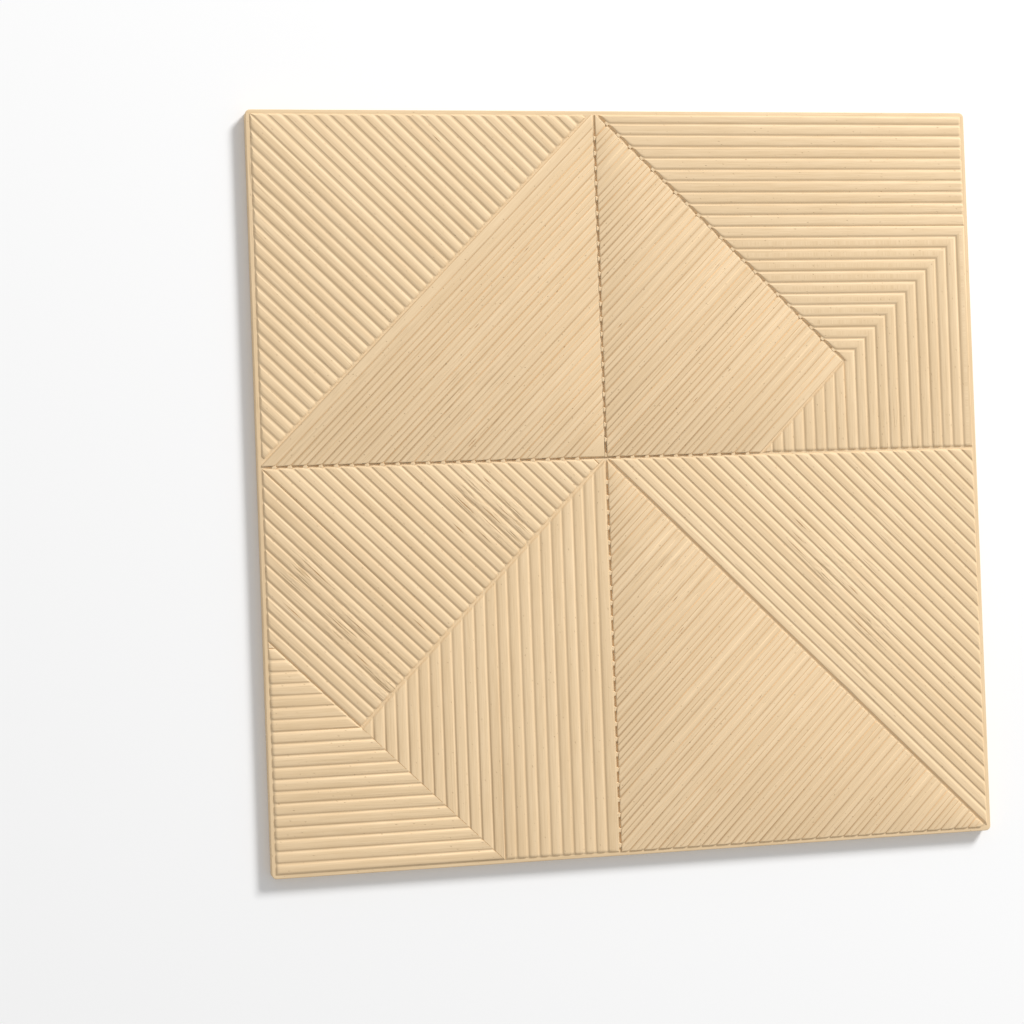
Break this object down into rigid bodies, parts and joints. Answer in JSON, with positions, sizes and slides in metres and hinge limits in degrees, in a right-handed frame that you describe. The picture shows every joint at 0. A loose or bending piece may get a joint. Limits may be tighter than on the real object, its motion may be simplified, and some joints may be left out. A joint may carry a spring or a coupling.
{
  "type": "wall panel tile",
  "caption": "Square foam wall tile with a plain flat back and a face laid out in mitred triangles of straight reeds and fine lines.",
  "frame": {"origin": "centre of the flat back face", "axes": "+Z out of the reeded face, +Y towards the edge that is at the top when the tile is on a wall, +X to the right as seen from the front"},
  "size_m": [0.3, 0.3, 0.006],
  "materials": {
    "foam": "matt beige with a wood look"
  },
  "bodies": {
    "root": {"wall_tile": "foam"}
  },
  "joints": []
}
